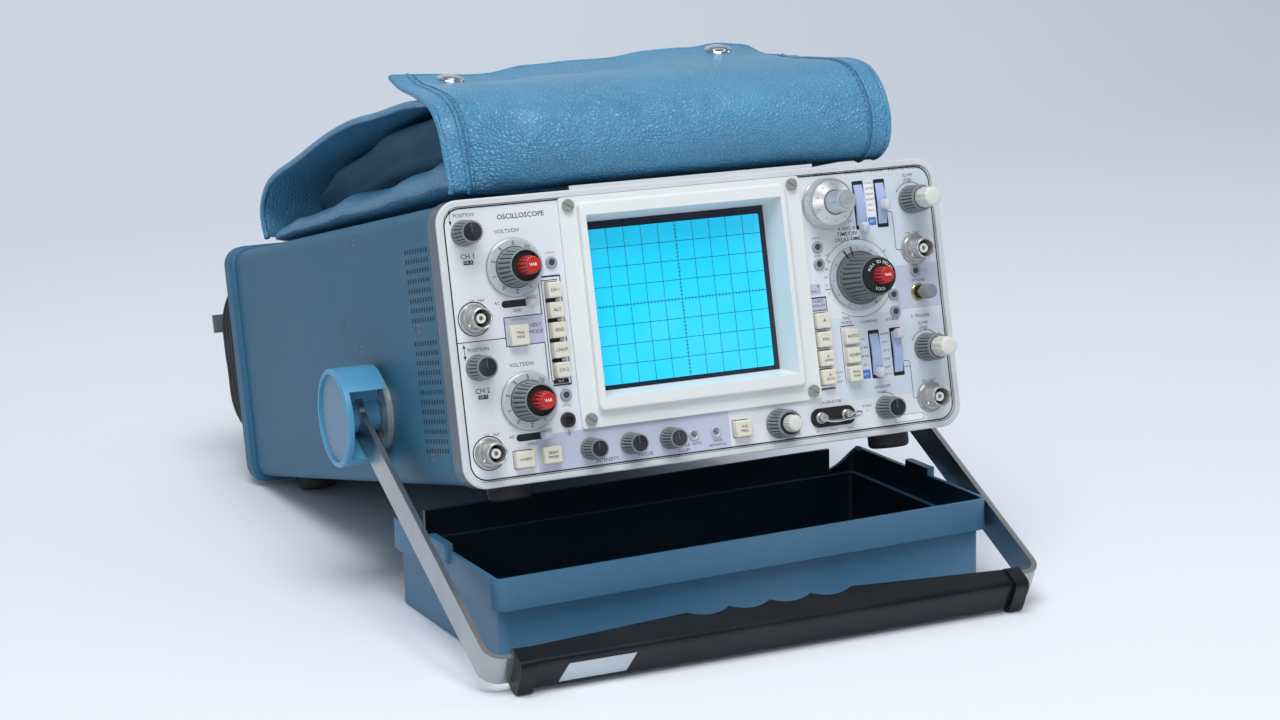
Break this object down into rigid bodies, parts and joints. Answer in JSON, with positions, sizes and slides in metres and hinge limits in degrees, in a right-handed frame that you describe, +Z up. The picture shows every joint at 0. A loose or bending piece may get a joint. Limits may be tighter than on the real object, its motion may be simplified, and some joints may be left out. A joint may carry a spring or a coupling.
{
  "type": "portable oscilloscope",
  "caption": "Portable bench oscilloscope tilted on its swing handle, with a control panel, a soft top pouch, a wound mains cord and its open front cover on the floor.",
  "frame": {"origin": "centre of the bottom of the part's box, on the floor", "axes": "+X to the right of someone who faces the panel, +Y to the rear, +Z up"},
  "size_m": [0.336, 0.5258, 0.2803],
  "materials": {
    "cabinet_paint": "fine textured semi-gloss",
    "frame_metal": "satin cast",
    "panel_paint": "satin anodised and printed",
    "bezel_plastic": "satin moulded",
    "display_glass": "glossy blue filter",
    "chassis_metal": "plain sheet",
    "plated_metal": "nickel plated",
    "foot_rubber": "matte",
    "rear_plastic": "satin moulded",
    "cord_rubber": "satin",
    "bail_steel": "brushed lengthways",
    "grip_plastic": "satin",
    "hub_plastic": "semi-gloss",
    "pouch_vinyl": "grained vinyl",
    "cover_plastic": "pebbled moulded",
    "knob_plastic": "satin fluted",
    "knob_red": "gloss",
    "knob_clear": "satin with clear skirt",
    "button_plastic": "semi-gloss ivory",
    "lever_plastic": "semi-gloss"
  },
  "bodies": {
    "case": {"cabinet_sleeve": "cabinet_paint", "front_frame": "frame_metal", "front_panel": "panel_paint", "crt_bezel": "bezel_plastic", "display_tube": "display_glass", "chassis": "chassis_metal", "panel_fittings": "plated_metal", "fixings": "plated_metal", "rubber_feet": "foot_rubber", "rear_panel": "rear_plastic", "power_cord": "cord_rubber", "power_plug": "cord_rubber", "storage_pouch": "pouch_vinyl"},
    "handle": {"handle_bail": "bail_steel", "handle_grip": "grip_plastic", "handle_hubs": "hub_plastic"},
    "cover": {"front_cover": "cover_plastic"},
    "ch1_position": {"ch1_position": "knob_plastic"},
    "ch1_volts": {"ch1_volts": "knob_plastic"},
    "ch1_variable": {"ch1_variable": "knob_red"},
    "ch2_position": {"ch2_position": "knob_plastic"},
    "ch2_volts": {"ch2_volts": "knob_plastic"},
    "ch2_variable": {"ch2_variable": "knob_red"},
    "intensity": {"intensity": "knob_plastic"},
    "focus": {"focus": "knob_plastic"},
    "scale_light": {"scale_light": "knob_plastic"},
    "sweep_position": {"sweep_position": "knob_plastic"},
    "sweep_fine": {"sweep_fine": "knob_plastic"},
    "holdoff": {"holdoff": "knob_plastic"},
    "delay_dial": {"delay_dial": "knob_clear"},
    "time_main": {"time_main": "knob_plastic"},
    "time_delayed": {"time_delayed": "knob_plastic"},
    "time_variable": {"time_variable": "knob_red"},
    "b_level": {"b_level": "knob_plastic"},
    "b_slope": {"b_slope": "knob_plastic"},
    "a_level": {"a_level": "knob_plastic"},
    "a_slope": {"a_slope": "knob_plastic"},
    "trigger_view": {"trigger_view": "button_plastic"},
    "vertical_mode_1": {"vertical_mode_1": "button_plastic"},
    "vertical_mode_2": {"vertical_mode_2": "button_plastic"},
    "vertical_mode_3": {"vertical_mode_3": "button_plastic"},
    "vertical_mode_4": {"vertical_mode_4": "button_plastic"},
    "vertical_mode_5": {"vertical_mode_5": "button_plastic"},
    "invert": {"invert": "button_plastic"},
    "beam_finder": {"beam_finder": "button_plastic"},
    "magnifier": {"magnifier": "button_plastic"},
    "display_mode_1": {"display_mode_1": "button_plastic"},
    "display_mode_2": {"display_mode_2": "button_plastic"},
    "display_mode_3": {"display_mode_3": "button_plastic"},
    "display_mode_4": {"display_mode_4": "button_plastic"},
    "trigger_mode_1": {"trigger_mode_1": "button_plastic"},
    "trigger_mode_2": {"trigger_mode_2": "button_plastic"},
    "trigger_mode_3": {"trigger_mode_3": "button_plastic"},
    "power_button": {"power_button": "knob_plastic"},
    "ch1_coupling": {"ch1_coupling": "lever_plastic"},
    "ch2_coupling": {"ch2_coupling": "lever_plastic"},
    "b_coupling": {"b_coupling": "lever_plastic"},
    "b_source": {"b_source": "lever_plastic"},
    "a_coupling": {"a_coupling": "lever_plastic"},
    "a_source": {"a_source": "lever_plastic"}
  },
  "joints": [
    {"name": "ch1_position_turn", "type": "hinge", "parent": "case", "child": "ch1_position", "pos_m": [-0.128, -0.1673, 0.21171], "axis": [0, 0.9766, -0.2152], "range_deg": [-150, 150]},
    {"name": "ch1_volts_turn", "type": "hinge", "parent": "case", "child": "ch1_volts", "pos_m": [-0.1034, -0.17145, 0.19286], "axis": [0, 0.9766, -0.2152], "range_deg": [-150, 150]},
    {"name": "ch1_variable_turn", "type": "hinge", "parent": "case", "child": "ch1_variable", "pos_m": [-0.1034, -0.17145, 0.19286], "axis": [0, 0.9766, -0.2152], "range_deg": [-150, 150]},
    {"name": "ch2_position_turn", "type": "hinge", "parent": "case", "child": "ch2_position", "pos_m": [-0.128, -0.18172, 0.14628], "axis": [0, 0.9766, -0.2152], "range_deg": [-150, 150]},
    {"name": "ch2_volts_turn", "type": "hinge", "parent": "case", "child": "ch2_volts", "pos_m": [-0.1034, -0.18587, 0.12743], "axis": [0, 0.9766, -0.2152], "range_deg": [-150, 150]},
    {"name": "ch2_variable_turn", "type": "hinge", "parent": "case", "child": "ch2_variable", "pos_m": [-0.1034, -0.18587, 0.12743], "axis": [0, 0.9766, -0.2152], "range_deg": [-150, 150]},
    {"name": "intensity_turn", "type": "hinge", "parent": "case", "child": "intensity", "pos_m": [-0.0729, -0.19183, 0.10038], "axis": [0, 0.9766, -0.2152], "range_deg": [-150, 150]},
    {"name": "focus_turn", "type": "hinge", "parent": "case", "child": "focus", "pos_m": [-0.0509, -0.19183, 0.10038], "axis": [0, 0.9766, -0.2152], "range_deg": [-150, 150]},
    {"name": "scale_light_turn", "type": "hinge", "parent": "case", "child": "scale_light", "pos_m": [-0.029, -0.19183, 0.10038], "axis": [0, 0.9766, -0.2152], "range_deg": [-150, 150]},
    {"name": "sweep_position_turn", "type": "hinge", "parent": "case", "child": "sweep_position", "pos_m": [0.034, -0.19183, 0.10038], "axis": [0, 0.9766, -0.2152], "range_deg": [-150, 150]},
    {"name": "sweep_fine_turn", "type": "hinge", "parent": "case", "child": "sweep_fine", "pos_m": [0.034, -0.19183, 0.10038], "axis": [0, 0.9766, -0.2152], "range_deg": [-150, 150]},
    {"name": "holdoff_turn", "type": "hinge", "parent": "case", "child": "holdoff", "pos_m": [0.0971, -0.19161, 0.10135], "axis": [0, 0.9766, -0.2152], "range_deg": [-150, 150]},
    {"name": "delay_dial_turn", "type": "hinge", "parent": "case", "child": "delay_dial", "pos_m": [0.074, -0.16792, 0.20888], "axis": [0, 0.9766, -0.2152], "range_deg": [-1800, 1800]},
    {"name": "time_main_turn", "type": "hinge", "parent": "case", "child": "time_main", "pos_m": [0.089, -0.17662, 0.16942], "axis": [0, 0.9766, -0.2152], "range_deg": [-150, 150]},
    {"name": "time_delayed_turn", "type": "hinge", "parent": "case", "child": "time_delayed", "pos_m": [0.089, -0.17662, 0.16942], "axis": [0, 0.9766, -0.2152], "range_deg": [-150, 150]},
    {"name": "time_variable_turn", "type": "hinge", "parent": "case", "child": "time_variable", "pos_m": [0.089, -0.17662, 0.16942], "axis": [0, 0.9766, -0.2152], "range_deg": [-150, 150]},
    {"name": "b_level_turn", "type": "hinge", "parent": "case", "child": "b_level", "pos_m": [0.1256, -0.16835, 0.20692], "axis": [0, 0.9766, -0.2152], "range_deg": [-150, 150]},
    {"name": "b_slope_turn", "type": "hinge", "parent": "case", "child": "b_slope", "pos_m": [0.1256, -0.16835, 0.20692], "axis": [0, 0.9766, -0.2152], "range_deg": [-30, 30]},
    {"name": "a_level_turn", "type": "hinge", "parent": "case", "child": "a_level", "pos_m": [0.1256, -0.18535, 0.12977], "axis": [0, 0.9766, -0.2152], "range_deg": [-150, 150]},
    {"name": "a_slope_turn", "type": "hinge", "parent": "case", "child": "a_slope", "pos_m": [0.1256, -0.18535, 0.12977], "axis": [0, 0.9766, -0.2152], "range_deg": [-30, 30]},
    {"name": "trigger_view_press", "type": "slide", "parent": "case", "child": "trigger_view", "axis": [0, 0.9766, -0.2152], "range_m": [0, 0.003], "stiffness_N_per_m": 400},
    {"name": "vertical_mode_1_press", "type": "slide", "parent": "case", "child": "vertical_mode_1", "axis": [0, 0.9766, -0.2152], "range_m": [0, 0.003], "stiffness_N_per_m": 400},
    {"name": "vertical_mode_2_press", "type": "slide", "parent": "case", "child": "vertical_mode_2", "axis": [0, 0.9766, -0.2152], "range_m": [0, 0.003], "stiffness_N_per_m": 400},
    {"name": "vertical_mode_3_press", "type": "slide", "parent": "case", "child": "vertical_mode_3", "axis": [0, 0.9766, -0.2152], "range_m": [0, 0.003], "stiffness_N_per_m": 400},
    {"name": "vertical_mode_4_press", "type": "slide", "parent": "case", "child": "vertical_mode_4", "axis": [0, 0.9766, -0.2152], "range_m": [0, 0.003], "stiffness_N_per_m": 400},
    {"name": "vertical_mode_5_press", "type": "slide", "parent": "case", "child": "vertical_mode_5", "axis": [0, 0.9766, -0.2152], "range_m": [0, 0.003], "stiffness_N_per_m": 400},
    {"name": "invert_press", "type": "slide", "parent": "case", "child": "invert", "axis": [0, 0.9766, -0.2152], "range_m": [0, 0.003], "stiffness_N_per_m": 400},
    {"name": "beam_finder_press", "type": "slide", "parent": "case", "child": "beam_finder", "axis": [0, 0.9766, -0.2152], "range_m": [0, 0.003], "stiffness_N_per_m": 400},
    {"name": "magnifier_press", "type": "slide", "parent": "case", "child": "magnifier", "axis": [0, 0.9766, -0.2152], "range_m": [0, 0.003], "stiffness_N_per_m": 400},
    {"name": "display_mode_1_press", "type": "slide", "parent": "case", "child": "display_mode_1", "axis": [0, 0.9766, -0.2152], "range_m": [0, 0.003], "stiffness_N_per_m": 400},
    {"name": "display_mode_2_press", "type": "slide", "parent": "case", "child": "display_mode_2", "axis": [0, 0.9766, -0.2152], "range_m": [0, 0.003], "stiffness_N_per_m": 400},
    {"name": "display_mode_3_press", "type": "slide", "parent": "case", "child": "display_mode_3", "axis": [0, 0.9766, -0.2152], "range_m": [0, 0.003], "stiffness_N_per_m": 400},
    {"name": "display_mode_4_press", "type": "slide", "parent": "case", "child": "display_mode_4", "axis": [0, 0.9766, -0.2152], "range_m": [0, 0.003], "stiffness_N_per_m": 400},
    {"name": "trigger_mode_1_press", "type": "slide", "parent": "case", "child": "trigger_mode_1", "axis": [0, 0.9766, -0.2152], "range_m": [0, 0.003], "stiffness_N_per_m": 400},
    {"name": "trigger_mode_2_press", "type": "slide", "parent": "case", "child": "trigger_mode_2", "axis": [0, 0.9766, -0.2152], "range_m": [0, 0.003], "stiffness_N_per_m": 400},
    {"name": "trigger_mode_3_press", "type": "slide", "parent": "case", "child": "trigger_mode_3", "axis": [0, 0.9766, -0.2152], "range_m": [0, 0.003], "stiffness_N_per_m": 400},
    {"name": "power_button_push", "type": "slide", "parent": "case", "child": "power_button", "axis": [0, 0.9766, -0.2152], "range_m": [0, 0.005]},
    {"name": "ch1_coupling_shift", "type": "hinge", "parent": "case", "child": "ch1_coupling", "pos_m": [-0.1042, -0.14601, 0.16892], "axis": [0, 0.2152, 0.9766], "range_deg": [-18.92, 0.37]},
    {"name": "ch2_coupling_shift", "type": "hinge", "parent": "case", "child": "ch2_coupling", "pos_m": [-0.1042, -0.16042, 0.10349], "axis": [0, 0.2152, 0.9766], "range_deg": [-18.92, 0.37]},
    {"name": "b_coupling_shift", "type": "hinge", "parent": "case", "child": "b_coupling", "pos_m": [0.0946, -0.13914, 0.20008], "axis": [-1, 0, 0], "range_deg": [-0.7, 34.1]},
    {"name": "b_source_shift", "type": "hinge", "parent": "case", "child": "b_source", "pos_m": [0.1075, -0.13914, 0.20008], "axis": [-1, 0, 0], "range_deg": [-13.58, 21.21]},
    {"name": "a_coupling_shift", "type": "hinge", "parent": "case", "child": "a_coupling", "pos_m": [0.0946, -0.15614, 0.12293], "axis": [-1, 0, 0], "range_deg": [-3.36, 31.43]},
    {"name": "a_source_shift", "type": "hinge", "parent": "case", "child": "a_source", "pos_m": [0.1075, -0.15614, 0.12293], "axis": [-1, 0, 0], "range_deg": [-31.43, 3.36]},
    {"name": "handle_swing", "type": "hinge", "parent": "case", "child": "handle", "pos_m": [0, -0.0661, 0.10032], "axis": [-1, 0, 0], "range_deg": [0, 90]},
    {"name": "cover_slide", "type": "slide", "parent": "case", "child": "cover", "axis": [0, 1, 0], "range_m": [-0.01, 0.03]}
  ]
}
